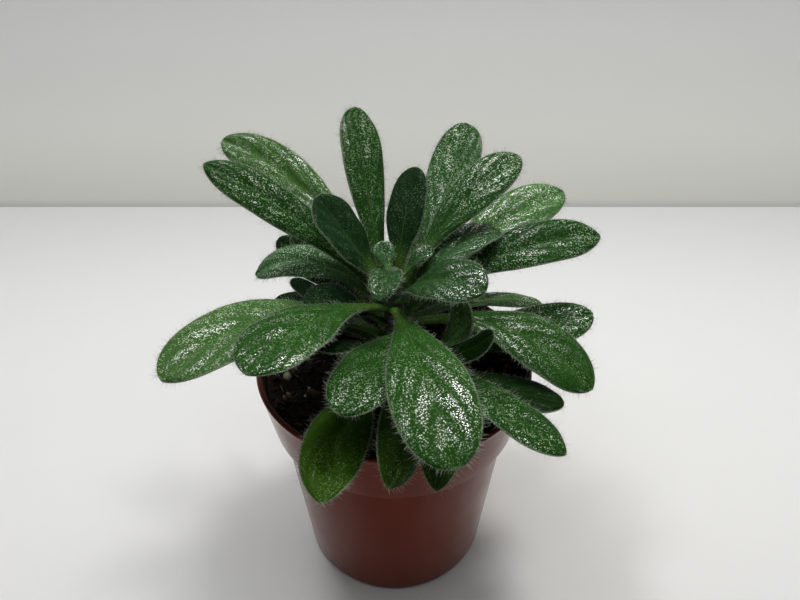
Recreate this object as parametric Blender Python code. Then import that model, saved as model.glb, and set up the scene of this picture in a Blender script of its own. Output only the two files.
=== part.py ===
# A potted primulina: a rosette of thick, hairy leaves on a short stem, rooted in a 76 mm
# round plastic nursery pot. Metres, +Z up. The pot's axis is the Z axis and its base
# stands on Z = 0. The front of the plant, as it was seen, faces -Y.
import math

import bmesh
import bpy
import numpy as np

MM = 0.001

# The pot
RIM_RADIUS = 38.0 * MM
RIM_FOOT_RADIUS = 35.2 * MM
BODY_TOP_RADIUS = 33.0 * MM
BASE_RADIUS = 28.3 * MM
POT_HEIGHT = 69.0 * MM
RIM_FOOT_HEIGHT = 52.2 * MM
WALL = 1.2 * MM
FLOOR = 1.4 * MM
POT_SIDES = 48
DRAIN_HOLES = 6
DRAIN_HOLE_RADIUS = 3.2 * MM
DRAIN_RING_RADIUS = 19.0 * MM

# The soil inside the pot
GAP = 0.3 * MM
SOIL_TOP = 64.8 * MM
SOIL_LUMP = 0.8 * MM
STEM_HOLE_FLOOR = 54.0 * MM

# The short stem that every leaf grows from
STEM_PROFILE = ((54.3, 5.0), (58.0, 5.0), (64.0, 4.8), (70.0, 4.6), (75.0, 4.5), (80.0, 4.4),
                (86.0, 3.8), (92.0, 3.2), (95.0, 2.2), (97.0, 1.5))
STEM_SIDES = 14

# Each whorl of leaves shares how its blades widen and how thick its stalks are:
# where the blade is widest (share of the length), how late it widens, half the stalk's
# width and thickness in mm, and the fold along the midrib in degrees.
WHORLS = {
    "crown": dict(widest=0.60, taper=2.1, stalk=0.65, stalk_depth=0.55, fold=18),
    "heart": dict(widest=0.63, taper=1.7, stalk=1.0, stalk_depth=0.9, fold=8),
    "inner": dict(widest=0.60, taper=2.1, stalk=1.0, stalk_depth=0.9, fold=8),
    "outer": dict(widest=0.69, taper=2.7, stalk=1.1, stalk_depth=1.0, fold=4),
    "lower": dict(widest=0.68, taper=2.9, stalk=1.1, stalk_depth=1.0, fold=0),
    "base": dict(widest=0.70, taper=3.2, stalk=1.1, stalk_depth=1.0, fold=0),
}


def leaf(whorl, azimuth, height, rise, end, swing, length, width, roll=0, **shape):
    """One leaf, in degrees and mm. azimuth: where it grows on the stem, from +X towards +Y.
    height: its place up the stem. rise and end: angle above level at the stalk and at the
    tip. swing: how far its heading turns on the way. roll: how far its right side lifts.
    shape may give the leaf its own widest, taper or fold, and point: the higher it is, the
    more slowly the tip rounds off."""
    return dict(whorl=whorl, azimuth=azimuth, height=height, rise=rise, end=end, swing=swing,
                length=length, width=width, roll=roll, **shape)


LEAVES = {
    # Youngest leaves at the top of the stem
    "leaf_young_back": leaf("crown", 117, 95, 42, 70, 0, 8, 6),
    "leaf_young_front": leaf("crown", 264, 96, 52, -25, -7, 18, 8, fold=32),
    "leaf_young_right": leaf("crown", 15, 95, 55, 20, 20, 10, 5, -10),
    # Small leaves round the crown
    "leaf_inner_right": leaf("heart", 10, 89, 65, -25, 45, 34, 11, -5),
    "leaf_front_right": leaf("heart", 309, 90, 66, -12, 25, 28, 14, -18),
    "leaf_inner_left": leaf("inner", 175, 93, 60, 50, -20, 27, 17, widest=0.55, taper=1.4),
    "leaf_left_mid": leaf("inner", 162, 86, 52, -46, 3, 40, 10, 30, point=0.72),
    "leaf_inner_back": leaf("inner", 79, 92, 57, 46, -9, 30, 11, 11),
    "leaf_left_arched": leaf("inner", 205, 83, 50, 0, -30, 21, 15),
    # The large leaves that make the outline
    "leaf_back_left_high": leaf("outer", 132, 88, 45, 5, 18, 68, 13, 36),
    "leaf_back_left": leaf("outer", 162, 89, 47, 27, 14, 54, 12, 24, point=0.7),
    "leaf_back_tall": leaf("outer", 112, 85, 57, 32, -18, 57, 14, -30),
    "leaf_back_right_high": leaf("outer", 58, 90, 26, 26, 24, 61, 16, 13),
    "leaf_back_right": leaf("outer", 34, 92, 56, 14, 4, 46, 12, -22),
    "leaf_right_high": leaf("outer", 42, 82, 34, 3, -12, 62, 14, -31),
    "leaf_right": leaf("outer", 19, 84, 35, -11, -1, 59, 13, -33, point=0.75),
    "leaf_left_outer": leaf("outer", 201, 78, 45, -20, 30, 60, 20, taper=1.5, point=0.68),
    "leaf_front_left": leaf("outer", 220, 87, 28, -7, 27, 46, 18, 2, point=0.72),
    "leaf_front_big": leaf("outer", 279, 87, 25, -26, 7, 54, 18, -6),
    # Lower leaves
    "leaf_front_small": leaf("lower", 272, 80, 35, -15, -40, 40, 16, widest=0.62, taper=2.0),
    "leaf_right_outer": leaf("lower", 2, 80, 14, -40, -39, 53, 18, -12, point=0.7),
    "leaf_right_back_low": leaf("lower", 4, 69, 11, 9, 7, 52, 14, -23),
    "leaf_right_back_edge": leaf("lower", 36, 79, 3, -14, -33, 43, 11, 12),
    "leaf_left_under": leaf("lower", 225, 74, 45, 20, -5, 28, 14),
    "leaf_back_left_low": leaf("lower", 135, 79, 11, -1, -5, 51, 10, 40),
    "leaf_left_under_mid": leaf("lower", 155, 75, 16, 8, -20, 32, 8, -10),
    "leaf_left_back": leaf("lower", 150, 72, 10, -5, 0, 37, 14, 5),
    "leaf_right_under": leaf("lower", 60, 77, 10, -15, -30, 17, 11),
    # Leaves at the back that fill the rosette
    "leaf_back_low_1": leaf("lower", 100, 73, 10, -10, 0, 41, 15),
    "leaf_back_low_2": leaf("lower", 105, 70, 5, 0, -35, 45, 15),
    "leaf_back_low_3": leaf("lower", 60, 74, 5, -10, 30, 43, 15),
    "leaf_back_low_4": leaf("lower", 65, 70, 10, -10, 0, 42, 15),
    "leaf_back_mid_1": leaf("inner", 64, 84, 31, 2, 4, 47, 12),
    "leaf_back_mid_2": leaf("outer", 73, 80, 31, -10, 3, 49, 13, 7),
    # Lowest leaves, just above the soil and the rim
    "leaf_front_left_low": leaf("base", 241, 68, 10, 0, 30, 50, 15, 5, widest=0.62, taper=2.3, point=0.85),
    "leaf_front_low": leaf("base", 280, 73, 12, -10, -25, 45, 13, 45, point=0.85),
    "leaf_front_low_right": leaf("base", 296, 70, 25, -15, -35, 48, 10, 15, point=0.85),
    "leaf_right_low": leaf("base", 322, 69, 9, -7, 29, 43, 14, 7),
    "leaf_right_lowest": leaf("base", 309, 72, 20, -18, 11, 51, 14, 12, point=0.7),
    "leaf_side_upright": leaf("base", 335, 71, 11, 111, 33, 29, 8, -38),
    "leaf_side_small": leaf("base", 309, 75, 4, 55, 43, 30, 9, -10),
}

# Stations along a leaf and across it
ALONG = np.array([0, 0.09, 0.19, 0.30, 0.41, 0.52, 0.62, 0.71, 0.79, 0.86, 0.92, 0.965, 1.0])
ACROSS = np.array([-1, -0.55, 0, 0.55, 1.0])
TIP_BLUNTNESS = 2.8
TIP_POINT = 0.58
BLADE_HALF_THICKNESS = 0.45


def clear_scene():
    for obj in list(bpy.data.objects):
        bpy.data.objects.remove(obj, do_unlink=True)


def material(name, colour, roughness, metallic=0.0):
    mat = bpy.data.materials.new(name)
    mat.use_nodes = True
    shader = mat.node_tree.nodes["Principled BSDF"]
    shader.inputs["Base Color"].default_value = (*colour, 1.0)
    shader.inputs["Roughness"].default_value = roughness
    shader.inputs["Metallic"].default_value = metallic
    mat.diffuse_color = (*colour, 1.0)
    return mat


def add_object(name, bm, mat, smooth_angle=40):
    mesh = bpy.data.meshes.new(name)
    bm.normal_update()
    bm.to_mesh(mesh)
    bm.free()
    mesh.materials.append(mat)
    mesh.shade_smooth()
    mesh.set_sharp_from_angle(angle=math.radians(smooth_angle))
    obj = bpy.data.objects.new(name, mesh)
    bpy.context.scene.collection.objects.link(obj)
    return obj


def bridge(bm, ring_a, ring_b):
    """Quads between two rings of the same length."""
    n = len(ring_a)
    for i in range(n):
        j = (i + 1) % n
        bm.faces.new((ring_a[i], ring_a[j], ring_b[j], ring_b[i]))


def turned(profile, sides):
    """A solid of revolution. The profile runs from the axis at the bottom, up the outside
    and back to the axis; a radius of zero closes to a point."""
    bm = bmesh.new()
    rings = []
    for radius, z in profile:
        if radius < 1e-9:
            rings.append([bm.verts.new((0.0, 0.0, z))])
            continue
        ring = []
        for i in range(sides):
            a = 2 * math.pi * i / sides
            ring.append(bm.verts.new((radius * math.cos(a), radius * math.sin(a), z)))
        rings.append(ring)
    for low, high in zip(rings, rings[1:]):
        if len(low) == 1:
            for i in range(sides):
                bm.faces.new((low[0], high[(i + 1) % sides], high[i]))
        elif len(high) == 1:
            for i in range(sides):
                bm.faces.new((low[i], low[(i + 1) % sides], high[0]))
        else:
            bridge(bm, low, high)
    return bm


def quarter(centre_r, centre_z, radius, start, end, steps):
    """Points of a small arc in the (radius, z) plane, angles in degrees."""
    out = []
    for k in range(steps + 1):
        a = math.radians(start + (end - start) * k / steps)
        out.append((centre_r + radius * math.cos(a), centre_z + radius * math.sin(a)))
    return out


def body_radius(z):
    """Outer radius of the pot's tapered body."""
    return BASE_RADIUS + (BODY_TOP_RADIUS - BASE_RADIUS) * z / RIM_FOOT_HEIGHT


def rim_radius(z):
    """Outer radius of the flared band below the rim."""
    share = (z - RIM_FOOT_HEIGHT) / (POT_HEIGHT - RIM_FOOT_HEIGHT)
    return RIM_FOOT_RADIUS + (RIM_RADIUS - RIM_FOOT_RADIUS) * share


def make_pot(mat):
    foot = 1.6 * MM
    lip = 0.75 * MM
    outside = [(0.0, 0.0), (DRAIN_RING_RADIUS, 0.0)]
    outside += quarter(body_radius(foot) - foot, foot, foot, -90, 0, 3)
    outside += [(body_radius(z * MM), z * MM) for z in (20.0, 38.0, 51.6)]
    outside += [(RIM_FOOT_RADIUS, RIM_FOOT_HEIGHT), (rim_radius(60 * MM), 60 * MM)]
    outside += quarter(RIM_RADIUS - lip, POT_HEIGHT - lip, lip, 0, 180, 5)
    inside = [(rim_radius(60 * MM) - WALL, 60 * MM)]
    inside += [(RIM_FOOT_RADIUS - WALL, RIM_FOOT_HEIGHT + WALL)]
    inside += [(body_radius(z * MM) - WALL, z * MM) for z in (52.2, 30.0)]
    inside += [(body_radius(FLOOR) - WALL, FLOOR), (DRAIN_RING_RADIUS, FLOOR), (0.0, FLOOR)]
    pot = add_object("pot", turned(outside + inside, POT_SIDES), mat)
    cutters = bpy.data.collections.new("drain_cutters")
    bpy.context.scene.collection.children.link(cutters)
    for i in range(DRAIN_HOLES):
        angle = 2 * math.pi * (i + 0.5) / DRAIN_HOLES
        bm = bmesh.new()
        bmesh.ops.create_cone(bm, cap_ends=True, segments=16, radius1=DRAIN_HOLE_RADIUS,
                              radius2=DRAIN_HOLE_RADIUS, depth=6 * MM)
        cutter = add_object("drain_cutter_%d" % (i + 1), bm, mat)
        bpy.context.scene.collection.objects.unlink(cutter)
        cutters.objects.link(cutter)
        cutter.location = (DRAIN_RING_RADIUS * math.cos(angle),
                           DRAIN_RING_RADIUS * math.sin(angle), FLOOR / 2)
        cutter.hide_render = True
        cutter.display_type = "WIRE"
    cut = pot.modifiers.new("drain_holes", "BOOLEAN")
    cut.operation = "DIFFERENCE"
    cut.solver = "EXACT"
    cut.operand_type = "COLLECTION"
    cut.collection = cutters
    return pot


def soil_height(x, y):
    """Lumpy ground: broad swells and small crumbs, in metres above the base."""
    u = x / MM
    v = y / MM
    broad = 0.5 * math.sin(0.13 * u + 0.8) * math.cos(0.11 * v - 0.3)
    crumbs = 0.35 * math.sin(0.47 * u + 1.7 * math.sin(0.31 * v))
    fine = 0.25 * math.sin(0.83 * v + 1.3 * math.cos(0.71 * u + 0.4))
    return SOIL_TOP + SOIL_LUMP * (broad + crumbs + fine)


def make_soil(mat):
    sides = POT_SIDES
    inner = stem_radius(SOIL_TOP) + 2 * GAP
    profile = [(0.0, FLOOR + GAP), (body_radius(FLOOR) - WALL - GAP, FLOOR + GAP)]
    profile += [(body_radius(z * MM) - WALL - GAP, z * MM) for z in (30.0, 52.6)]
    profile += [(RIM_FOOT_RADIUS - WALL - GAP, RIM_FOOT_HEIGHT + WALL + 0.4 * MM)]
    edge = rim_radius(SOIL_TOP) - WALL - GAP
    profile += [(rim_radius(60 * MM) - WALL - GAP, 60 * MM), (edge, SOIL_TOP - 0.6 * MM)]
    first_top = len(profile)
    top_rings = 8
    for k in range(1, top_rings + 1):
        profile.append((edge + (inner - edge) * k / top_rings, SOIL_TOP))
    last_top = len(profile)
    profile += [(inner, STEM_HOLE_FLOOR), (0.0, STEM_HOLE_FLOOR)]
    bm = turned(profile, sides)
    bm.verts.ensure_lookup_table()
    for ring in range(first_top, last_top):
        start = 1 + (ring - 1) * sides
        for i in range(sides):
            vert = bm.verts[start + i]
            vert.co.z = soil_height(vert.co.x, vert.co.y)
    bmesh.ops.triangulate(bm, faces=[f for f in bm.faces if len(f.verts) > 3])
    return add_object("soil", bm, mat)


def stem_radius(z):
    """Radius of the stem at a height, in metres."""
    heights = [h * MM for h, r in STEM_PROFILE]
    radii = [r * MM for h, r in STEM_PROFILE]
    return float(np.interp(z, heights, radii))


def make_stem(mat):
    profile = [(0.0, STEM_PROFILE[0][0] * MM)]
    profile += [(r * MM, h * MM) for h, r in STEM_PROFILE]
    profile += [(0.0, STEM_PROFILE[-1][0] * MM + 0.6 * MM)]
    return add_object("stem", turned(profile, STEM_SIDES), mat)


def midrib(leaf, stations):
    """Centre line of a leaf with its direction, its right side and its upper side.
    It leaves the stem at the leaf's azimuth and height and bends evenly from its rise to
    its end angle, while its heading turns by its swing."""
    depth = WHORLS[leaf["whorl"]]["stalk_depth"]
    azimuth, height, rise = leaf["azimuth"], leaf["height"], leaf["rise"]
    steps = 96
    share = np.linspace(0, 1, steps + 1)
    middle = (share[1:] + share[:-1]) / 2
    pitch = np.radians(rise + (leaf["end"] - rise) * middle)
    heading = np.radians(azimuth + leaf["swing"] * middle)
    step = np.stack([np.cos(pitch) * np.cos(heading), np.cos(pitch) * np.sin(heading),
                     np.sin(pitch)], -1) * leaf["length"] / steps
    reach = stem_radius(height * MM) / MM + GAP / MM + depth * math.sin(math.radians(abs(rise)))
    start = [reach * math.cos(math.radians(azimuth)), reach * math.sin(math.radians(azimuth)),
             height]
    path = np.vstack([start, step]).cumsum(0)
    centre = np.stack([np.interp(stations, share, path[:, k]) for k in range(3)], -1)
    pitch = np.radians(rise + (leaf["end"] - rise) * stations)
    heading = np.radians(azimuth + leaf["swing"] * stations)
    ahead = np.stack([np.cos(pitch) * np.cos(heading), np.cos(pitch) * np.sin(heading),
                      np.sin(pitch)], -1)
    side = np.stack([np.sin(heading), -np.cos(heading), 0 * heading], -1)
    above = np.cross(side, ahead)
    roll = np.radians(leaf["roll"]) * np.clip(stations / 0.5, 0, 1)[:, None]
    right = side * np.cos(roll) + above * np.sin(roll)
    up = above * np.cos(roll) - side * np.sin(roll)
    return centre, right, up


def half_widths(leaf, stations):
    """Half the width of the stalk and blade: the stalk, a swelling to the widest place,
    and a rounded end."""
    whorl = WHORLS[leaf["whorl"]]
    stalk = whorl["stalk"]
    widest = leaf.get("widest", whorl["widest"])
    taper = leaf.get("taper", whorl["taper"])
    full = leaf["width"] / 2
    swell = np.sin(math.pi / 2 * np.clip(stations / widest, 0, 1)) ** taper
    past = np.clip((stations - widest) / (1 - widest), 0, 1)
    point = leaf.get("point", TIP_POINT)
    rounded = np.clip(1 - past ** TIP_BLUNTNESS, 0, 1) ** point
    width = np.where(stations < widest, stalk + (full - stalk) * swell, full * rounded)
    return np.maximum(width, 0.14 * full + 0.2)


def leaf_rings(leaf):
    """One ring of points for each station: the upper face from left to right, then the
    lower face from right to left, with the midrib standing out below."""
    whorl = WHORLS[leaf["whorl"]]
    centre, right, up = midrib(leaf, ALONG)
    width = half_widths(leaf, ALONG)
    fold = np.radians(leaf.get("fold", whorl["fold"])) * (1 - 0.6 * ALONG)
    deep = whorl["stalk_depth"]
    depth = np.interp(ALONG, [0, 0.15, 0.45, 1], [deep, 0.9 * deep, BLADE_HALF_THICKNESS, 0.38])
    edge = np.interp(ALONG, [0, 0.15, 0.45, 1], [0.35, 0.4, 0.78, 0.85])
    keel = np.interp(ALONG, [0, 0.2, 0.5, 1], [0, 0.15, 0.35, 0])
    if leaf["whorl"] == "crown":
        keel = keel * 0.4
    rings = []
    for i in range(len(ALONG)):
        upper = []
        lower = []
        for x in ACROSS:
            out = width[i] * x * math.cos(fold[i])
            lift = width[i] * abs(x) * math.sin(fold[i])
            point = centre[i] + right[i] * out + up[i] * lift
            half = depth[i] * (1 - (1 - edge[i]) * x * x)
            below = half + (keel[i] if x == 0 else 0)
            upper.append(point + up[i] * half)
            lower.append(point - up[i] * below)
        rings.append([p * MM for p in upper + lower[::-1]])
    return rings


def skin_leaf(bm, rings):
    """Triangles round the rings and across both ends. The upper and the lower face are
    split along the same diagonals, so a thin blade never crosses itself."""
    n = len(ACROSS)
    size = 2 * n
    verts = [[bm.verts.new(p) for p in ring] for ring in rings]
    for near, far in zip(verts, verts[1:]):
        for k in range(size):
            m = (k + 1) % size
            column = k if k < n - 1 else size - 2 - k
            is_edge = k == n - 1 or k == size - 1
            is_upper = k < n - 1
            rising = (column >= 2) == is_upper
            if is_edge or rising:
                bm.faces.new((near[k], near[m], far[m]))
                bm.faces.new((near[k], far[m], far[k]))
            else:
                bm.faces.new((near[k], near[m], far[k]))
                bm.faces.new((near[m], far[m], far[k]))
    first, last = verts[0], verts[-1]
    for k in range(n - 1):
        m = size - 1 - k
        bm.faces.new((first[k], first[m], first[m - 1]))
        bm.faces.new((first[k], first[m - 1], first[k + 1]))
        bm.faces.new((last[k], last[k + 1], last[m - 1]))
        bm.faces.new((last[k], last[m - 1], last[m]))
    bmesh.ops.recalc_face_normals(bm, faces=bm.faces)


def make_leaf(name, leaf, mat):
    bm = bmesh.new()
    skin_leaf(bm, leaf_rings(leaf))
    return add_object(name, bm, mat, 60)


def build():
    clear_scene()
    make_pot(material("pot_plastic", (0.16, 0.045, 0.028), 0.35))
    make_soil(material("potting_soil", (0.035, 0.024, 0.016), 0.95))
    make_stem(material("stem_skin", (0.16, 0.15, 0.07), 0.7))
    green = {
        "crown": material("leaf_crown", (0.10, 0.17, 0.07), 0.6),
        "heart": material("leaf_heart", (0.045, 0.11, 0.05), 0.6),
        "inner": material("leaf_inner", (0.04, 0.10, 0.05), 0.6),
        "outer": material("leaf_outer", (0.07, 0.15, 0.055), 0.6),
        "lower": material("leaf_lower", (0.045, 0.10, 0.045), 0.6),
        "base": material("leaf_base", (0.06, 0.10, 0.04), 0.6),
    }
    for name, leaf in LEAVES.items():
        make_leaf(name, leaf, green[leaf["whorl"]])


build()
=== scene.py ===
import math

import bmesh
import bpy
import numpy as np
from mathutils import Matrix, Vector


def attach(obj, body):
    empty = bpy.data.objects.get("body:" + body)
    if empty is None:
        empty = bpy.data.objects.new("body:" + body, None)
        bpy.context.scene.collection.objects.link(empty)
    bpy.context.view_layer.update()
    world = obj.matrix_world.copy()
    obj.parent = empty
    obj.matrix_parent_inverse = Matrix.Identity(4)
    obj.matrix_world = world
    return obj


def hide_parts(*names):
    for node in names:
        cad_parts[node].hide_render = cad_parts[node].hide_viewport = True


# The looks of the potted primulina: fine leaf skins with hairs and veins, a smooth moulded
# pot, crumbly soil with perlite and bark, and plain studio light. Shapes are worked out in mm
# and degrees. Materials, the stage, the lights and the camera are in metres.
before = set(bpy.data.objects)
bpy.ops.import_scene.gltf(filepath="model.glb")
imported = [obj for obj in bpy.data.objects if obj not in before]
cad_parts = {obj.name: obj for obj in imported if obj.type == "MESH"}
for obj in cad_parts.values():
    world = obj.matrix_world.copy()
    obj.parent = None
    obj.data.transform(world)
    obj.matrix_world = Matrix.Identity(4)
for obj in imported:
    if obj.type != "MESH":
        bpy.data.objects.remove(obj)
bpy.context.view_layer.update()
MM = 0.001

# The pot, the soil and the stem in mm, the same sizes as the solids
RIM_RADIUS = 38.0
RIM_FOOT_RADIUS = 35.2
BODY_TOP_RADIUS = 33.0
BASE_RADIUS = 28.3
POT_HEIGHT = 69.0
RIM_FOOT_HEIGHT = 52.2
WALL = 1.2
FLOOR = 1.4
DRAIN_HOLES = 6
DRAIN_HOLE_RADIUS = 3.2
DRAIN_RING_RADIUS = 19.0
GAP = 0.3
SOIL_TOP = 64.8
SOIL_LUMP = 0.8
STEM_HOLE_FLOOR = 54.0
STEM_PROFILE = ((54.3, 5.0), (58.0, 5.0), (64.0, 4.8), (70.0, 4.6), (75.0, 4.5), (80.0, 4.4),
                (86.0, 3.8), (92.0, 3.2), (95.0, 2.2), (97.0, 1.5))

# What is finer than in the solids, in mm
POT_SIDES = 144
FOOT_ROUNDING = 1.6
LIP_ROUNDING = 0.72
LIP_BEAD = 0.10
STEP_ROUNDING = 0.35
DRAIN_SIDES = 32
DRAIN_CUTTER_LENGTH = 6.0
NUB_X = -2.2
NUB_HEIGHT = 52.5
NUB_REACH = 0.9
NUB_DEPTH = 0.5
SOIL_SIDES = 180
SOIL_RINGS = 48
LITTER_MARGIN = 1.2
STEM_SIDES = 40
STEM_RINGS = 60
STEM_SCAR = 0.12
STEM_SKIN = ((54.3, 4.9), (65.5, 4.7), (67.5, 4.0), (71.0, 3.3), (78.0, 2.9), (88.0, 2.6),
             (94.0, 2.0), (97.0, 1.3))

# What a whorl's leaves share: where a blade is widest, how its stalk widens into it, the
# stalk's half width and half depth, the fold in degrees, and the usual look of the upper skin.
# The lower whorl's usual look, shade, is painted shade for leaves that lie under others
WHORLS = {
    "crown": dict(widest=0.60, taper=2.1, stalk=0.65, stalk_depth=0.55, fold=18, look="crown"),
    "heart": dict(widest=0.63, taper=1.7, stalk=1.0, stalk_depth=0.9, fold=8, look="heart"),
    "inner": dict(widest=0.60, taper=2.1, stalk=1.0, stalk_depth=0.9, fold=8, look="back"),
    "outer": dict(widest=0.69, taper=2.7, stalk=1.1, stalk_depth=1.0, fold=4, look="outer"),
    "lower": dict(widest=0.68, taper=2.9, stalk=1.1, stalk_depth=1.0, fold=0, look="shade"),
    "base": dict(widest=0.70, taper=3.2, stalk=1.1, stalk_depth=1.0, fold=0, look="base"),
}


def leaf(whorl, azimuth, height, rise, end, swing, length, width, roll=0, **shape):
    """One leaf, in degrees and mm, as the solids have it."""
    return dict(whorl=whorl, azimuth=azimuth, height=height, rise=rise, end=end, swing=swing,
                length=length, width=width, roll=roll, **shape)


LEAVES = {
    # Youngest leaves at the top of the stem
    "leaf_young_back": leaf("crown", 117, 95, 42, 70, 0, 8, 6),
    "leaf_young_front": leaf("crown", 264, 96, 52, -25, -7, 18, 8, fold=32),
    "leaf_young_right": leaf("crown", 15, 95, 55, 20, 20, 10, 5, -10),
    # Small leaves round the crown
    "leaf_inner_right": leaf("heart", 10, 89, 65, -25, 45, 34, 11, -5),
    "leaf_front_right": leaf("heart", 309, 90, 66, -12, 25, 28, 14, -18),
    "leaf_inner_left": leaf("inner", 175, 93, 60, 50, -20, 27, 17, widest=0.55, taper=1.4),
    "leaf_left_mid": leaf("inner", 162, 86, 52, -46, 3, 40, 10, 30, point=0.72),
    "leaf_inner_back": leaf("inner", 79, 92, 57, 46, -9, 30, 11, 11),
    "leaf_left_arched": leaf("inner", 205, 83, 50, 0, -30, 21, 15),
    # The large leaves that make the outline
    "leaf_back_left_high": leaf("outer", 132, 88, 45, 5, 18, 68, 13, 36),
    "leaf_back_left": leaf("outer", 162, 89, 47, 27, 14, 54, 12, 24, point=0.7),
    "leaf_back_tall": leaf("outer", 112, 85, 57, 32, -18, 57, 14, -30),
    "leaf_back_right_high": leaf("outer", 58, 90, 26, 26, 24, 61, 16, 13),
    "leaf_back_right": leaf("outer", 34, 92, 56, 14, 4, 46, 12, -22),
    "leaf_right_high": leaf("outer", 42, 82, 34, 3, -12, 62, 14, -31),
    "leaf_right": leaf("outer", 19, 84, 35, -11, -1, 59, 13, -33, point=0.75),
    "leaf_left_outer": leaf("outer", 201, 78, 45, -20, 30, 60, 20, taper=1.5, point=0.68),
    "leaf_front_left": leaf("outer", 220, 87, 28, -7, 27, 46, 18, 2, point=0.72),
    "leaf_front_big": leaf("outer", 279, 87, 25, -26, 7, 54, 18, -6),
    # Lower leaves
    "leaf_front_small": leaf("lower", 272, 80, 35, -15, -40, 40, 16, widest=0.62, taper=2.0),
    "leaf_right_outer": leaf("lower", 2, 80, 14, -40, -39, 53, 18, -12, point=0.7),
    "leaf_right_back_low": leaf("lower", 4, 69, 11, 9, 7, 52, 14, -23),
    "leaf_right_back_edge": leaf("lower", 36, 79, 3, -14, -33, 43, 11, 12),
    "leaf_left_under": leaf("lower", 225, 74, 45, 20, -5, 28, 14),
    "leaf_back_left_low": leaf("lower", 135, 79, 11, -1, -5, 51, 10, 40),
    "leaf_left_under_mid": leaf("lower", 155, 75, 16, 8, -20, 32, 8, -10),
    "leaf_left_back": leaf("lower", 150, 72, 10, -5, 0, 37, 14, 5),
    "leaf_right_under": leaf("lower", 60, 77, 10, -15, -30, 17, 11),
    # Leaves at the back that fill the rosette
    "leaf_back_low_1": leaf("lower", 100, 73, 10, -10, 0, 41, 15),
    "leaf_back_low_2": leaf("lower", 105, 70, 5, 0, -35, 45, 15),
    "leaf_back_low_3": leaf("lower", 60, 74, 5, -10, 30, 43, 15),
    "leaf_back_low_4": leaf("lower", 65, 70, 10, -10, 0, 42, 15),
    "leaf_back_mid_1": leaf("inner", 64, 84, 31, 2, 4, 47, 12),
    "leaf_back_mid_2": leaf("outer", 73, 80, 31, -10, 3, 49, 13, 7),
    # Lowest leaves, just above the soil and the rim
    "leaf_front_left_low": leaf("base", 241, 68, 10, 0, 30, 50, 15, 5, widest=0.62, taper=2.3,
                                point=0.85),
    "leaf_front_low": leaf("base", 280, 73, 12, -10, -25, 45, 13, 45, point=0.85),
    "leaf_front_low_right": leaf("base", 296, 70, 25, -15, -35, 48, 10, 15, point=0.85),
    "leaf_right_low": leaf("base", 322, 69, 9, -7, 29, 43, 14, 7),
    "leaf_right_lowest": leaf("base", 309, 72, 20, -18, 11, 51, 14, 12, point=0.7),
    "leaf_side_upright": leaf("base", 335, 71, 11, 111, 33, 29, 8, -38),
    "leaf_side_small": leaf("base", 309, 75, 4, 55, 43, 30, 9, -10),
}


def rgb(r, g, b):
    return (r, g, b, 1.0)


def look(dark, light, dot, grain, shine, fade=0.0):
    """An upper skin: its two greens, its pale dots and how strong they are, how glossy it is,
    and how far it turns to the dark green at the tip. The pale dots are partly the pale bases
    of the hairs and partly painted glints."""
    return dict(dark=rgb(*dark), light=rgb(*light), dot=rgb(*dot), grain=grain, shine=shine,
                fade=fade)


# Painted light and shade: besides the leaves' own greens, the looks are lit and shaded copies of
# the skin, picked for how light each leaf stands. The darker looks, most of all shade and dusky,
# paint shade; the lighter ones, most of all pale, bright, cool and soft, paint light
LOOKS = {
    "crown": look((0.009, 0.038, 0.007), (0.019, 0.060, 0.013), (0.17, 0.24, 0.15), 0.8, 0.9),
    "heart": look((0.009, 0.036, 0.007), (0.019, 0.058, 0.014), (0.15, 0.21, 0.13), 0.8, 1.2),
    "cool": look((0.026, 0.088, 0.024), (0.056, 0.142, 0.046), (0.60, 0.74, 0.54), 0.9, 1.7),
    "soft": look((0.012, 0.052, 0.011), (0.026, 0.080, 0.020), (0.22, 0.32, 0.20), 0.85, 1.5),
    "dusky": look((0.003, 0.016, 0.003), (0.009, 0.034, 0.009), (0.095, 0.15, 0.090), 0.65, 0.1),
    "back": look((0.005, 0.030, 0.002), (0.012, 0.052, 0.005), (0.26, 0.38, 0.20), 0.8, 0.6),
    "outer": look((0.007, 0.038, 0.003), (0.019, 0.070, 0.008), (0.20, 0.32, 0.14), 0.8, 1.5),
    "frosted": look((0.006, 0.038, 0.004), (0.016, 0.064, 0.008), (0.40, 0.52, 0.34), 0.85, 0.8),
    "bright": look((0.023, 0.070, 0.010), (0.052, 0.124, 0.026), (0.37, 0.48, 0.29), 0.85, 1.5),
    "pale": look((0.030, 0.098, 0.018), (0.062, 0.155, 0.036), (0.68, 0.80, 0.58), 0.9, 1.3),
    # Painted light: the lowest leaves' light green, left at the stalk end by the fade, lifts the
    # part in the shadow of the leaves above
    "base": look((0.014, 0.040, 0.001), (0.052, 0.138, 0.006), (0.11, 0.18, 0.055), 0.7, 0.2,
                 fade=0.85),
    "shade": look((0.001, 0.008, 0.0005), (0.004, 0.020, 0.002), (0.038, 0.080, 0.026), 0.65,
                  0.1),
}

# The leaves that lack their whorl's usual look. Besides the leaves' own greens, the lighter
# looks here are painted light and the darker ones painted shade
LOOK_OF = {
    "leaf_young_back": "cool", "leaf_left_mid": "cool", "leaf_inner_right": "soft",
    "leaf_inner_left": "dusky", "leaf_inner_back": "dusky", "leaf_left_arched": "dusky",
    "leaf_back_left": "back", "leaf_back_tall": "back", "leaf_front_small": "back",
    "leaf_right_lowest": "back", "leaf_right_outer": "outer",
    "leaf_right": "frosted", "leaf_right_back_low": "frosted",
    "leaf_back_right": "frosted", "leaf_back_right_high": "frosted",
    "leaf_back_left_high": "bright", "leaf_left_outer": "bright",
    "leaf_right_high": "pale", "leaf_right_back_edge": "pale", "leaf_side_upright": "pale",
    "leaf_right_low": "shade", "leaf_side_small": "shade",
}

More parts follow.
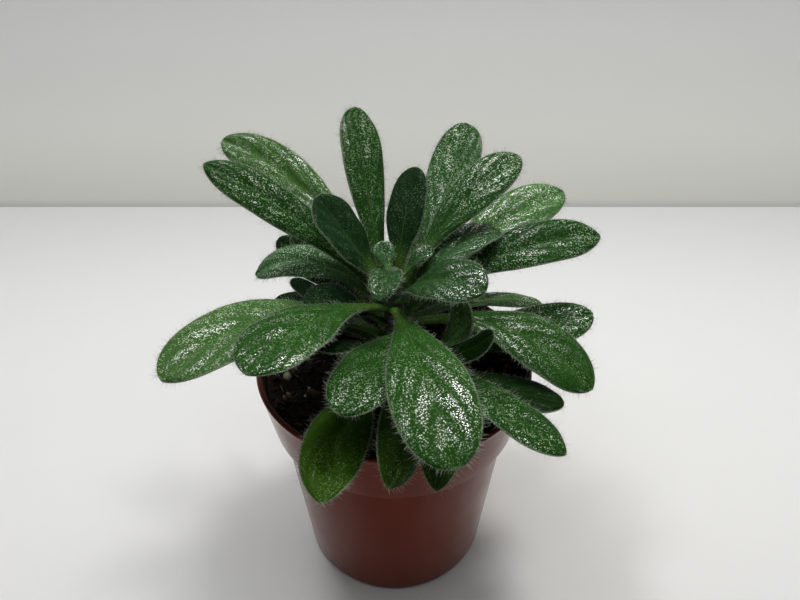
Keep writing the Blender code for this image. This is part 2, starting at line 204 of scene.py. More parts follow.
# How the blades are cut up and shaped: places as shares from the stem to the tip and from the
# midrib to the edge, heights and widths in mm, the root's slope in degrees
PATH_STEPS = 96
STATIONS = 76
ACROSS = 21
ROOT_STATIONS = [-1.0, -0.75, -0.5, -0.25]
ROOT_REACH = 3.0
STEEPEST_ROOT = 35
ROLLED_BY = 0.5
TIP_BLUNTNESS = 2.8
TIP_POINT = 0.58
LEAST_HALF_WIDTH = 0.02
STALK_FLARE = 0.45
FLARE_END = 0.35
WIDEST_FLARE = 1.4
BLADE_START = 0.16
VEIN_SPACING = 0.19
VEIN_SWEEP = 0.42
VEIN_CURVE = 1.25
RIB_DEPTH = 0.32
LOBE_HEIGHT = 0.20
PUCKER_HEIGHT = 0.08
SWELL_HEIGHT = 0.08
QUILT_HEIGHT = 0.13
EDGE_WAVE = 0.22
KEEL_DEPTH = 0.35
PILLOW_SHARE = 0.065

# The hairs: how dense they are, how deep they are rooted, how long and how thick, in mm
UPPER_HAIRS_PER_MM2 = 1.0
UNDER_HAIRS_PER_MM2 = 0.7
EDGE_HAIRS_PER_MM = 3.2
STALK_HAIRS_PER_MM = 4.5
RIM_HAIRS_PER_MM = 7.0
FACE_HAIR = dict(root=0.05, length=(0.10, 0.24), radius=(0.016, 0.024))
RIM_HAIR = dict(root=0.08, length=(0.22, 0.6), radius=(0.024, 0.036))
LONG_HAIR = dict(root=0.12, length=2.3, radius=(0.020, 0.032))
HAIR_ROUGHNESS = 0.35
SPIKE_FACES = [[0, 2, 1], [0, 1, 3], [1, 2, 3], [2, 0, 3]]
BENT_FACES = [[0, 2, 1], [0, 1, 4], [0, 4, 3], [1, 2, 5], [1, 5, 4], [2, 0, 3], [2, 3, 5],
              [3, 4, 6], [4, 5, 6], [5, 3, 6]]

# Grain in the materials, in cells or waves a metre, and tones that all leaves share
DOMES_PER_M = 2550.0
DOME_NARROWING = 1.7
SOIL_GRAIN_PER_M = 900.0
RIM_TONE = rgb(0.30, 0.38, 0.24)
STALK_TONE = rgb(0.075, 0.15, 0.022)


def set_mesh(name, verts, faces, materials, uv=None, indices=None, smooth=True):
    """A mesh object from arrays: verts in metres, faces one array of quads or triangles."""
    mesh = bpy.data.meshes.new(name)
    size = faces.shape[1]
    mesh.vertices.add(len(verts))
    mesh.vertices.foreach_set("co", np.asarray(verts, np.float32).ravel())
    mesh.loops.add(faces.size)
    mesh.loops.foreach_set("vertex_index", faces.astype(np.int32).ravel())
    mesh.polygons.add(len(faces))
    mesh.polygons.foreach_set("loop_start", np.arange(0, faces.size, size, dtype=np.int32))
    if uv is not None:
        layer = mesh.uv_layers.new(name="leaf")
        layer.data.foreach_set("uv", uv[faces.ravel()].astype(np.float32).ravel())
    for mat in materials:
        mesh.materials.append(mat)
    if indices is not None:
        mesh.polygons.foreach_set("material_index", indices.astype(np.int32))
    mesh.update(calc_edges=True)
    mesh.validate()
    if smooth:
        mesh.shade_smooth()
    obj = bpy.data.objects.new(name, mesh)
    bpy.context.scene.collection.objects.link(obj)
    return obj


def declare(obj, slot, *nodes):
    """A piece of the plant or pot: it never moves, and may stand for nodes of the solids."""
    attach(obj, "root")
    if nodes:
        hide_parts(*nodes)


# Shader helpers
class Graph:
    """Adds shader nodes to a tree and links them. Positions are in metres."""

    def __init__(self, tree):
        self.tree = tree

    def put(self, socket, value):
        if isinstance(value, bpy.types.NodeSocket):
            self.tree.links.new(value, socket)
        else:
            socket.default_value = value

    def node(self, kind, inputs, **props):
        node = self.tree.nodes.new(kind)
        for key, value in props.items():
            setattr(node, key, value)
        for key, value in inputs.items():
            self.put(node.inputs[key], value)
        return node

    def math(self, op, a, b=0.0):
        return self.node("ShaderNodeMath", {0: a, 1: b}, operation=op).outputs[0]

    def times(self, a, b):
        return self.math("MULTIPLY", a, b)

    def span(self, value, low, high, to_low=0.0, to_high=1.0):
        """value from low to high mapped smoothly to to_low and to_high."""
        node = self.node("ShaderNodeMapRange", {"Value": value, "From Min": low,
                         "From Max": high, "To Min": to_low, "To Max": to_high},
                         interpolation_type="SMOOTHSTEP")
        return node.outputs["Result"]

    def mix(self, share, a, b):
        return self.node("ShaderNodeMix", {0: share, 6: a, 7: b}, data_type="RGBA").outputs[2]

    def noise(self, vector, scale, detail=2.0, rough=0.5):
        node = self.node("ShaderNodeTexNoise", {"Vector": vector, "Scale": scale,
                         "Detail": detail, "Roughness": rough})
        return node.outputs["Fac"]

    def patches(self, vector, scale, to_low, to_high):
        """Soft patches: to_low in half of the places, to_high in the other half."""
        return self.span(self.noise(vector, scale), 0.38, 0.58, to_low, to_high)

    def bump(self, height, strength, distance, normal=None):
        inputs = {"Height": height, "Strength": strength, "Distance": distance}
        if normal is not None:
            inputs["Normal"] = normal
        return self.node("ShaderNodeBump", inputs).outputs["Normal"]

    def split(self, vector):
        return self.node("ShaderNodeSeparateXYZ", {"Vector": vector}).outputs

    def stretch(self, vector, x, y, z):
        return self.node("ShaderNodeMapping", {"Vector": vector, "Scale": (x, y, z)}).outputs[0]


class Shade(Graph):
    """A new material and its nodes; where is the position on the object."""

    def __init__(self, name):
        self.mat = bpy.data.materials.new(name)
        self.mat.use_nodes = True
        super().__init__(self.mat.node_tree)
        self.shader = self.tree.nodes["Principled BSDF"]
        self.where = self.node("ShaderNodeTexCoord", {}).outputs["Object"]

    def set(self, **values):
        """Sets the shader's sockets, with an underscore for each space, and gives the material."""
        for key, value in values.items():
            self.put(self.shader.inputs[key.replace("_", " ")], value)
        return self.mat


def leaf_place(s):
    """The shares from the stem to the tip and from the midrib to the edge."""
    uv = s.split(s.node("ShaderNodeUVMap", {}, uv_map="leaf").outputs["UV"])
    across = s.math("SUBTRACT", s.times(uv["Y"], 2.0), 1.0)
    return uv["X"], s.math("ABSOLUTE", across)


def vein_distance(s, along, side, wander=None):
    """0 on a side vein, 1 halfway to the next one; wander makes the veins stray."""
    sweep = s.times(s.math("POWER", side, VEIN_CURVE), VEIN_SWEEP)
    place = s.math("SUBTRACT", along, sweep)
    if wander is not None:
        place = s.math("ADD", place, wander)
    return s.math("DIVIDE", s.math("PINGPONG", place, VEIN_SPACING / 2), VEIN_SPACING / 2)


def skin_domes(s):
    """Small round domes, 1 at their tops and 0 between them, and a random share for each."""
    cells = s.node("ShaderNodeTexVoronoi", {"Vector": s.where, "Scale": DOMES_PER_M}).outputs
    reach = s.times(cells["Distance"], DOME_NARROWING)
    dome = s.math("SUBTRACT", 1.0, s.times(reach, reach))
    pick = s.node("ShaderNodeSeparateColor", {"Color": cells["Color"]}).outputs[0]
    return s.math("MAXIMUM", dome, 0.0), pick


def leaf_top(name, dark, light, dot, grain, shine, fade):
    """Upper skin: green with sunken veins, pale dots and small glossy domes.

    Dots and gloss grow towards the tip. They are strongest on the lobes between the side
    veins, and come in patches. The dots are partly the pale bases of the hairs and partly
    painted glints. The grooves and the root are darkened, painted shade.
    """
    s = Shade(name)
    along, side = leaf_place(s)
    wander = s.times(s.math("SUBTRACT", s.noise(s.where, 160.0), 0.5), 0.03)
    from_vein = vein_distance(s, along, side, wander)
    vein = s.span(from_vein, 0.0, 0.35, 1.0, 0.0)
    rib = s.span(side, 0.02, 0.14, 1.0, 0.0)
    groove = s.math("MAXIMUM", s.times(vein, 0.6), rib)
    lobe = s.span(from_vein, 0.10, 0.65, 0.15, 1.25)
    outward = s.span(along, 0.25, 0.75, 0.40, 1.15)
    dome, pick = skin_domes(s)

    # Pale dots: partly the hairs' pale bases, partly painted glints, strongest on the lobes,
    # towards the tip and in patches
    spot = s.times(s.span(dome, 0.25, 0.75), s.span(pick, 0.20, 0.70))
    spot = s.times(spot, s.span(s.noise(s.where, 330.0, 3.0, 0.6), 0.3, 0.65, 0.35, 1.0))
    spot = s.times(spot, s.span(lobe, 0.15, 1.25, 0.6, 1.1))
    spot = s.times(s.times(spot, outward), s.patches(s.where, 90.0, 0.30, 1.2))

    gloss = s.times(s.span(dome, 0.30, 0.55), s.span(pick, 0.0, 0.5, 0.2, 1.0))
    gloss = s.times(gloss, s.math("SUBTRACT", 1.0, s.times(groove, 0.75)))
    gloss = s.times(gloss, s.times(lobe, outward))
    gloss = s.times(gloss, s.patches(s.where, 130.0, 0.35, 1.3))

    green = s.mix(s.noise(s.where, 70.0, 3.0), dark, light)
    # Painted shade in the grooves of the side veins and the midrib
    green = s.mix(s.times(groove, 0.35), green, dark)
    # The look's fade darkens towards the tip; in the lowest leaves' look it leaves the stalk end
    # lighter, painted light on the part in the shadow of the leaves above
    green = s.mix(s.span(along, 0.25, 0.95, 0.0, fade), green, dark)
    # The pale dots go onto the green, partly painted glints
    green = s.mix(s.times(spot, grain), green, dot)
    rim = s.math("MAXIMUM", s.span(side, 0.94, 0.995), s.span(along, 0.985, 1.0))
    green = s.mix(s.times(rim, 0.35), green, RIM_TONE)
    stalk = s.times(s.span(along, 0.08, 0.36, 1.0, 0.0), 0.5)
    core = s.times(s.span(side, 0.01, 0.035, 1.0, 0.0), s.span(along, 0.3, 0.9, 0.4, 0.1))
    green = s.mix(s.math("MAXIMUM", stalk, core), green, STALK_TONE)
    # Painted shade where the stalk runs into the stem, deep in the rosette
    root = s.span(along, -0.2, 0.12, 1.0, 0.0)
    green = s.mix(s.times(root, 0.6), green, dark)

    folds = s.math("ADD", s.times(vein, -0.3), s.noise(s.where, 420.0))
    broad = s.bump(folds, 0.25, 0.0005)
    domed = s.bump(dome, 1.0, 0.00004, broad)
    return s.set(Base_Color=green, Roughness=0.6, Normal=broad, Specular_IOR_Level=0.03,
                 Coat_Weight=s.times(gloss, shine), Coat_Roughness=0.12, Coat_IOR=1.8,
                 Coat_Normal=domed)


def leaf_under(name, colour, pale, stalk_tone):
    """Lower skin: paler and matt, with raised veins."""
    s = Shade(name)
    along, side = leaf_place(s)
    vein = s.span(vein_distance(s, along, side), 0.0, 0.35, 1.0, 0.0)
    rib = s.span(side, 0.03, 0.12, 1.0, 0.0)
    skin = s.mix(s.noise(s.where, 90.0, 3.0), colour, pale)
    skin = s.mix(s.times(s.math("MAXIMUM", vein, rib), 0.5), skin, pale)
    stalk = s.span(along, 0.10, 0.30, 1.0, 0.0)
    skin = s.mix(s.times(stalk, 0.8), skin, stalk_tone)
    grain = s.bump(s.noise(s.where, 2200.0), 0.4, 0.0002)
    normal = s.bump(vein, 0.4, 0.0005, grain)
    return s.set(Base_Color=skin, Roughness=0.7, Normal=normal, Sheen_Weight=0.15)


def hair_material(name, dark, light):
    """Plant hairs: dull from most sides, bright where they catch a light."""
    s = Shade(name)
    tone = s.mix(s.noise(s.where, 900.0), dark, light)
    return s.set(Base_Color=tone, Roughness=HAIR_ROUGHNESS, Specular_IOR_Level=0.8)


def band_inside(s, high):
    """Where shade is painted: 1 on the band's inner face, 0 on its outer face and below it."""
    flat = s.node("ShaderNodeVectorMath", {0: s.where, 1: (1.0, 1.0, 0.0)},
                  operation="MULTIPLY").outputs[0]
    radius = s.node("ShaderNodeVectorMath", {0: flat}, operation="LENGTH").outputs["Value"]
    slant = (RIM_RADIUS - RIM_FOOT_RADIUS) / (POT_HEIGHT - RIM_FOOT_HEIGHT)
    upright = s.math("SUBTRACT", radius, s.times(high, slant))
    middle = (RIM_RADIUS - slant * POT_HEIGHT - WALL / 2) * MM
    inside = s.span(upright, middle + 0.0001, middle + 0.0005, 1.0, 0.0)
    return s.times(inside, s.span(high, 0.053, 0.0535))


def pot_plastic():
    """Thin reddish-brown plastic with faint flow and rub marks. Painted shade darkens the lip
    and the inside of the band.
    """
    s = Shade("pot_plastic")
    high = s.split(s.where)["Z"]
    flow = s.noise(s.stretch(s.where, 1.0, 1.0, 0.12), 190.0, 3.0)
    base = s.mix(flow, rgb(0.125, 0.017, 0.0045), rgb(0.155, 0.023, 0.0075))
    dust = s.span(s.noise(s.where, 1500.0, 3.0, 0.6), 0.66, 0.78)
    base = s.mix(s.times(dust, 0.06), base, rgb(0.4, 0.3, 0.27))
    # Painted shade on the inner face of the band
    base = s.mix(s.times(band_inside(s, high), 0.75), base, rgb(0.020, 0.008, 0.005))
    # Painted shade on the top of the lip
    lip = s.span(high, 0.0680, 0.0686, 0.0, 0.5)
    base = s.mix(lip, base, rgb(0.060, 0.014, 0.008))
    rough = s.span(s.noise(s.where, 85.0, 4.0, 0.6), 0.3, 0.7, 0.30, 0.42)
    orange_peel = s.bump(s.noise(s.where, 700.0), 0.08, 0.0002)
    normal = s.bump(flow, 0.05, 0.0006, orange_peel)
    facing = s.node("ShaderNodeLayerWeight", {"Blend": 0.5}).outputs["Facing"]
    return s.set(Base_Color=base, Roughness=rough, Normal=normal, Specular_IOR_Level=0.03,
                 Coat_Weight=s.span(facing, 0.30, 0.95, 0.02, 0.85), Coat_Roughness=0.20,
                 Sheen_Weight=0.06, Sheen_Roughness=0.5, Sheen_Tint=rgb(1.0, 0.60, 0.52),
                 Subsurface_Weight=0.12, Subsurface_Radius=(1.0, 0.12, 0.06),
                 Subsurface_Scale=0.002)


def soil_material(name, low, high, rough=0.95):
    """Dull crumbly stuff, mottled from a low to a high tone."""
    s = Shade(name)
    tone = s.mix(s.noise(s.where, SOIL_GRAIN_PER_M, 4.0, 0.65), low, high)
    tone = s.mix(s.span(s.noise(s.where, SOIL_GRAIN_PER_M * 3.0), 0.62, 0.72), tone, high)
    normal = s.bump(s.noise(s.where, SOIL_GRAIN_PER_M * 2.0, 4.0, 0.7), 0.8, 0.0004)
    return s.set(Base_Color=tone, Roughness=rough, Normal=normal, Specular_IOR_Level=0.25)


def stem_material():
    """Ringed by leaf scars, brown at the foot and green above."""
    s = Shade("stem_skin")
    scars = s.noise(s.stretch(s.where, 0.4, 0.4, 2.4), 260.0, 4.0, 0.6)
    ring = s.span(scars, 0.35, 0.65)
    green = s.mix(ring, rgb(0.016, 0.040, 0.008), rgb(0.035, 0.068, 0.014))
    brown = s.mix(ring, rgb(0.05, 0.036, 0.016), rgb(0.12, 0.09, 0.045))
    tone = s.mix(s.span(s.split(s.where)["Z"], 0.070, 0.078), brown, green)
    normal = s.bump(scars, 0.6, 0.0008)
    return s.set(Base_Color=tone, Roughness=0.7, Normal=normal, Sheen_Weight=0.2)


# The leaves
def ramp(value, start, length):
    """0 up to start, then evenly up to 1 over the length."""
    return np.clip((value - start) / length, 0, 1)


def unit(vectors):
    return vectors / np.linalg.norm(vectors, axis=1)[:, None]


def radius_at(profile, z):
    """The radius in mm at a height, from a profile of heights and radii."""
    heights, radii = zip(*profile)
    return float(np.interp(z, heights, radii))


def turn_at(lf, share):
    """The leaf's heading in radians at a share of its length, and the direction it runs in."""
    pitch = np.radians(lf["rise"] + (lf["end"] - lf["rise"]) * share)
    heading = np.radians(lf["azimuth"] + lf["swing"] * share)
    ahead = np.stack([np.cos(pitch) * np.cos(heading), np.cos(pitch) * np.sin(heading),
                      np.sin(pitch)], -1)
    return heading, ahead


def midrib(lf, stations):
    """Centre line in mm, right side, upper side and way ahead at the stations.

    The line is the same as the solids'. Stations below 0 run back into the stem.
    """
    azimuth = math.radians(lf["azimuth"])
    share = np.linspace(0, 1, PATH_STEPS + 1)
    step = turn_at(lf, (share[1:] + share[:-1]) / 2)[1] * lf["length"] / PATH_STEPS
    depth = WHORLS[lf["whorl"]]["stalk_depth"] * math.sin(math.radians(abs(lf["rise"])))
    reach = radius_at(STEM_PROFILE, lf["height"]) + GAP + depth
    start = [reach * math.cos(azimuth), reach * math.sin(azimuth), lf["height"]]
    path = np.vstack([start, step]).cumsum(0)
    centre = np.stack([np.interp(stations, share, path[:, k]) for k in range(3)], -1)
    drop = math.tan(math.radians(min(lf["rise"], STEEPEST_ROOT)))
    inward = ramp(-stations, 0, 1)[..., None] * [math.cos(azimuth), math.sin(azimuth), drop]
    centre = centre - inward * ROOT_REACH
    stations = np.clip(stations, 0, 1)
    heading, ahead = turn_at(lf, stations)
    side = np.stack([np.sin(heading), -np.cos(heading), 0 * heading], -1)
    above = np.cross(side, ahead)
    roll = np.radians(lf["roll"]) * ramp(stations, 0, ROLLED_BY)[..., None]
    right = side * np.cos(roll) + above * np.sin(roll)
    up = above * np.cos(roll) - side * np.sin(roll)
    return centre, right, up, ahead


def half_widths(lf, stations):
    """Half the leaf's width in mm: a narrow stalk, a blade, a blunt or pointed tip."""
    whorl = WHORLS[lf["whorl"]]
    widest = lf.get("widest", whorl["widest"])
    taper = lf.get("taper", whorl["taper"])
    full = lf["width"] / 2
    swell = np.sin(math.pi / 2 * ramp(stations, 0, widest)) ** taper
    past = ramp(stations, widest, 1 - widest)
    rounded = np.clip(1 - past ** TIP_BLUNTNESS, 0, 1) ** lf.get("point", TIP_POINT)
    flare = np.clip(1 - stations / FLARE_END, 0, WIDEST_FLARE)
    stalk = whorl["stalk"] + STALK_FLARE * flare
    width = np.where(stations < widest, stalk + (full - stalk) * swell, full * rounded)
    return np.maximum(width, LEAST_HALF_WIDTH)


def half_thickness(lf, s, x):
    """Half the leaf's thickness in mm: a round stalk, a flat blade, thin at tip and edge."""
    deep = WHORLS[lf["whorl"]]["stalk_depth"]
    half = np.interp(s, [0, 0.15, 0.45, 1], [deep, 0.9 * deep, 0.46, 0.42])
    half = half * np.sqrt(np.clip(1 - ramp(s, 0.95, 0.05) ** 2, 0, 1))
    squareness = np.interp(s, [0.12, 0.42], [2.0, 6.0])
    return half * np.sqrt(np.clip(1 - np.abs(x) ** squareness, 0, 1))


def relief(lf, s, x):
    """Height of the upper skin over a smooth blade: sunken ribs, soft puckers, in mm."""
    seed = lf["azimuth"] * 0.37 + lf["height"]
    size = min(1.0, lf["width"] / 14.0)
    blade = ramp(s, 0.25, 0.15)
    rib = -RIB_DEPTH * np.exp(-(x / 0.08) ** 2) * (1.15 - s)
    phase = (s - VEIN_SWEEP * np.abs(x) ** VEIN_CURVE) / VEIN_SPACING
    lobe = LOBE_HEIGHT * (np.sin(math.pi * phase) ** 2 + 0.02) ** 0.35
    pucker = PUCKER_HEIGHT * np.sin(9 * x + 3.1 * np.sin(7 * s + seed))
    pucker = pucker * np.sin(17 * s + seed * 1.7)
    swell = SWELL_HEIGHT * np.sin(11.0 * s + 4.0 * x + seed * 2.3)
    across, down = x * lf["width"] / 2, s * lf["length"]
    quilt = QUILT_HEIGHT * np.sin(1.5 * across + seed + 1.3 * np.sin(0.8 * down + 2 * seed))
    quilt = quilt * np.sin(1.15 * down + 3 * seed + 1.2 * np.sin(0.9 * across + seed))
    soft = 1 - np.abs(x) ** 5
    puffs = (lobe + pucker + swell + quilt) * (1 - np.exp(-(x / 0.1) ** 2))
    return size * blade * soft * (rib + puffs)


def skin_points(lf, s, x, face):
    """Points in mm on the upper (face 1) or lower (face -1) skin, with the local directions."""
    centre, right, up, ahead = midrib(lf, s)
    width = half_widths(lf, s)
    fold = lf.get("fold", WHORLS[lf["whorl"]]["fold"])
    fold = np.radians(fold) * (1 - 0.6 * np.clip(s, 0, 1))
    crease = np.sqrt(x * x + 0.004) - 0.063
    wave = EDGE_WAVE * np.sin(15 * s + lf["azimuth"] * 0.11 + 2.0 * np.sign(x)) * np.abs(x) ** 3
    wave = wave * ramp(s, 0.3, 0.2) * min(1.0, lf["width"] / 12.0)
    pillow = PILLOW_SHARE * width * np.sin(math.pi * np.abs(x) ** 0.9) * ramp(s, 0.2, 0.2)
    out = (width * x * np.cos(fold))[..., None]
    lift = (width * crease * np.sin(fold) + wave + pillow)[..., None]
    point = centre + right * out + up * lift
    half = half_thickness(lf, s, x)
    if face > 0:
        point = point + up * (half + relief(lf, s, x))[..., None]
    else:
        keel = np.interp(s, [0, 0.2, 0.5, 1], [0, 0.15, KEEL_DEPTH, 0])
        keel = keel * np.exp(-(x / 0.12) ** 2)
        ribs = 0.5 * relief(lf, s, x)
        point = point - up * (half + keel)[..., None] + up * ribs[..., None]
    return point, right, up, ahead


def make_blade(name, lf, top, under):
    """The closed leaf skin: upper and lower faces share their rim points."""
    t = np.linspace(0, 1, STATIONS)
    s_line = 0.45 * t + 0.55 * np.sin(math.pi / 2 * t)
    s_line = np.concatenate([ROOT_STATIONS, s_line])
    x_line = np.sin(math.pi / 2 * np.linspace(-1, 1, ACROSS))
    s_up, x_up = np.meshgrid(s_line, x_line, indexing="ij")
    s_low, x_low = np.meshgrid(s_line, x_line[-2:0:-1], indexing="ij")
    upper = skin_points(lf, s_up, x_up, 1)[0]
    lower = skin_points(lf, s_low, x_low, -1)[0]
    verts = np.concatenate([upper, lower], 1)
    ring = verts.shape[1]
    uv = np.concatenate([np.stack([s_up, x_up / 2 + 0.5], -1),
                         np.stack([s_low, x_low / 2 + 0.5], -1)], 1).reshape(-1, 2)
    i, k = np.meshgrid(np.arange(len(s_line) - 1), np.arange(ring), indexing="ij")
    m = (k + 1) % ring
    quads = np.stack([i * ring + k, (i + 1) * ring + k, (i + 1) * ring + m, i * ring + m], -1)
    indices = np.where(k < ACROSS - 1, 0, 1).ravel()
    obj = set_mesh(name, verts.reshape(-1, 3) * MM, quads.reshape(-1, 4), [top, under], uv,
                   indices)
    close_ends(obj, ring)
    return obj


def close_ends(obj, ring):
    """Fills the first and last ring with one face each."""
    bm = bmesh.new()
    bm.from_mesh(obj.data)
    bm.verts.ensure_lookup_table()
    count = len(bm.verts)
    for start in (0, count - ring):
        face = bm.faces.new([bm.verts[start + k] for k in range(ring)])
        face.material_index = 1
        face.smooth = True
    bmesh.ops.recalc_face_normals(bm, faces=bm.faces)
    bm.to_mesh(obj.data)
    bm.free()


# The hairs
def sideways(axis):
    """Two directions at right angles to each axis and to each other."""
    helper = np.where(np.abs(axis[:, 2:3]) < 0.9, [[0.0, 0.0, 1.0]], [[1.0, 0.0, 0.0]])
    a = unit(np.cross(axis, helper))
    return a, np.cross(axis, a)


def corners(centre, radius, a, b):
    """The three corners of each hair's cross section."""
    angles = [2 * math.pi * k / 3 for k in range(3)]
    return [centre + radius[:, None] * (a * math.cos(t) + b * math.sin(t)) for t in angles]


def repeat_faces(verts, pattern):
    """The points of all hairs in one list, and one hair's triangles repeated for each."""
    base = np.arange(len(verts))[:, None, None] * verts.shape[1]
    faces = base + np.array([pattern])
    return verts.reshape(-1, 3), faces.reshape(-1, 3)


def spikes(root, tip, radius):
    """Closed three-sided spikes from each root to each tip, as triangles."""
    a, b = sideways(unit(tip - root))
    return repeat_faces(np.stack(corners(root, radius, a, b) + [tip], 1), SPIKE_FACES)


def bent_hairs(root, mid, tip, radius):
    """Closed hairs with one bend, three-sided, ten triangles each."""
    a, b = sideways(unit(tip - root))
    rows = corners(root, radius, a, b) + corners(mid, radius * 0.7, a, b)
    return repeat_faces(np.stack(rows + [tip], 1), BENT_FACES)


def random_on_blade(lf, rng, count):
    """Stations and sides spread evenly over the blade's area."""
    line = np.linspace(BLADE_START, 0.992, 400)
    weight = np.cumsum(half_widths(lf, line))
    s = np.interp(rng.random(count), weight / weight[-1], line)
    x = rng.uniform(-0.97, 0.97, count)
    return s, x


def random_on_rim(lf, rng, per_mm, crowding):
    """Stations along both edges, closer together towards the tip, and -1 or 1 for the edge."""
    count = int(2.0 * lf["length"] * 0.9 * per_mm)
    s = 1 - rng.random(count) ** crowding * 0.85
    edge = np.where(rng.random(count) < 0.5, -1.0, 1.0)
    return s, edge


def blade_area(lf):
    line = np.linspace(BLADE_START, 1, 200)
    return float(np.mean(half_widths(lf, line)) * 2 * (1 - BLADE_START) * lf["length"])


def hair_scale(lf):
    """Small leaves have shorter hairs."""
    return min(1.0, 0.55 + lf["length"] / 100.0)


def sideways_hairs(lf, rng, s, x, outward, rise, lean):
    """Roots and ways of hairs that stand out sideways, and turn ahead near the tip."""
    count = len(s)
    point, right, up, ahead = skin_points(lf, s, x, 1)
    near_tip = ramp(s, 0.9, 0.1)[:, None]
    way = right * outward[:, None] * (1 - 0.5 * near_tip) + up * rng.uniform(*rise, (count, 1))
    way = way + ahead * (rng.uniform(*lean, (count, 1)) + 0.9 * near_tip)
    return point, unit(way)


def face_hairs(lf, rng, face, density):
    """Short hairs on the upper or the lower face, leaning a little towards the tip."""
    count = int(blade_area(lf) * density)
    s, x = random_on_blade(lf, rng, count)
    point, right, up, ahead = skin_points(lf, s, x, face)
    lean = rng.normal(0.0, 0.25, (count, 1))
    forward = rng.uniform(0.0, 0.5, (count, 1))
    way = unit(up * face + right * lean + ahead * forward)
    length = rng.uniform(*FACE_HAIR["length"], (count, 1)) * hair_scale(lf)
    radius = rng.uniform(*FACE_HAIR["radius"], count)
    return spikes(point - up * face * FACE_HAIR["root"], point + way * length, radius)


def rim_fuzz(lf, rng):
    """Dense short hairs all round the rim, which give each blade its pale outline."""
    s, edge = random_on_rim(lf, rng, RIM_HAIRS_PER_MM, 1.15)
    x = edge * rng.uniform(0.93, 1.0, len(s))
    point, way = sideways_hairs(lf, rng, s, x, edge, rise=(-0.6, 1.0), lean=(-0.3, 0.6))
    length = rng.uniform(*RIM_HAIR["length"], (len(s), 1)) * hair_scale(lf)
    radius = rng.uniform(*RIM_HAIR["radius"], len(s))
    return spikes(point - way * RIM_HAIR["root"], point + way * length, radius)


def long_hairs(lf, rng, s, x, outward):
    """Long hairs that stand out sideways and lean towards the tip."""
    count = len(s)
    point, way = sideways_hairs(lf, rng, s, x, outward, rise=(-0.5, 0.9), lean=(-0.25, 0.55))
    length = rng.uniform(0.4, 1.0, (count, 1)) ** 1.5 * LONG_HAIR["length"] * hair_scale(lf)
    bend = rng.normal(0, 0.06, (count, 3))
    mid = point + way * length * 0.55
    tip = point + (way + bend) * length
    radius = rng.uniform(*LONG_HAIR["radius"], count)
    return bent_hairs(point - way * LONG_HAIR["root"], mid, tip, radius)


def edge_hairs(lf, rng):
    """Long hairs all round the rim."""
    s, edge = random_on_rim(lf, rng, EDGE_HAIRS_PER_MM, 1.25)
    # This draw isn't used, but it keeps the hairs drawn after it where they are
    rng.random(len(s))
    return long_hairs(lf, rng, s, edge * rng.uniform(0.96, 1.0, len(s)), edge)


def stalk_hairs(lf, rng):
    """Long hairs all over the stalk."""
    count = int(0.3 * lf["length"] * STALK_HAIRS_PER_MM)
    s = rng.uniform(0.02, 0.34, count)
    x = rng.uniform(-1, 1, count)
    return long_hairs(lf, rng, s, x, x * 1.2)


def make_hairs(name, lf, rng, short_hair, long_hair):
    """All of a leaf's hairs as one piece: green ones on the faces, paler ones elsewhere."""
    on_faces = [face_hairs(lf, rng, 1, UPPER_HAIRS_PER_MM2),
                face_hairs(lf, rng, -1, UNDER_HAIRS_PER_MM2)]
    elsewhere = [edge_hairs(lf, rng), rim_fuzz(lf, rng), stalk_hairs(lf, rng)]
    verts, faces, start = [], [], 0
    for v, f in on_faces + elsewhere:
        verts.append(v)
        faces.append(f + start)
        start += len(v)
    faces = np.concatenate(faces)
    paler = np.arange(len(faces)) >= sum(len(f) for v, f in on_faces)
    return set_mesh(name, np.concatenate(verts) * MM, faces, [short_hair, long_hair],
                    indices=paler.astype(int))


def make_leaves():
    short_hair = hair_material("leaf_fuzz", rgb(0.10, 0.17, 0.07), rgb(0.24, 0.34, 0.19))
    long_hair = hair_material("leaf_hair", rgb(0.20, 0.24, 0.17), rgb(0.42, 0.47, 0.37))
    tops = {name: leaf_top("leaf_" + name, **values) for name, values in LOOKS.items()}
    under = leaf_under("leaf_underside", rgb(0.045, 0.098, 0.028), rgb(0.085, 0.145, 0.050),
                       rgb(0.085, 0.16, 0.03))
    rng = np.random.default_rng(7)
    for name, lf in LEAVES.items():
        slot = "leaf_" + lf["whorl"]
        top = tops[LOOK_OF.get(name, WHORLS[lf["whorl"]]["look"])]
        declare(make_blade(name + "_skin", lf, top, under), slot, name)
        declare(make_hairs(name + "_hairs", lf, rng, short_hair, long_hair), slot)


# The pot
def body_radius(z):
    return BASE_RADIUS + (BODY_TOP_RADIUS - BASE_RADIUS) * z / RIM_FOOT_HEIGHT


def rim_radius(z):
    share = (z - RIM_FOOT_HEIGHT) / (POT_HEIGHT - RIM_FOOT_HEIGHT)
    return RIM_FOOT_RADIUS + (RIM_RADIUS - RIM_FOOT_RADIUS) * share


def arc(centre_r, centre_z, radius, start, end, steps):
    """Points on an arc from the start angle to the end angle, in degrees."""
    out = []
    for k in range(steps + 1):
        a = math.radians(start + (end - start) * k / steps)
        out.append((centre_r + radius * math.cos(a), centre_z + radius * math.sin(a)))
    return out


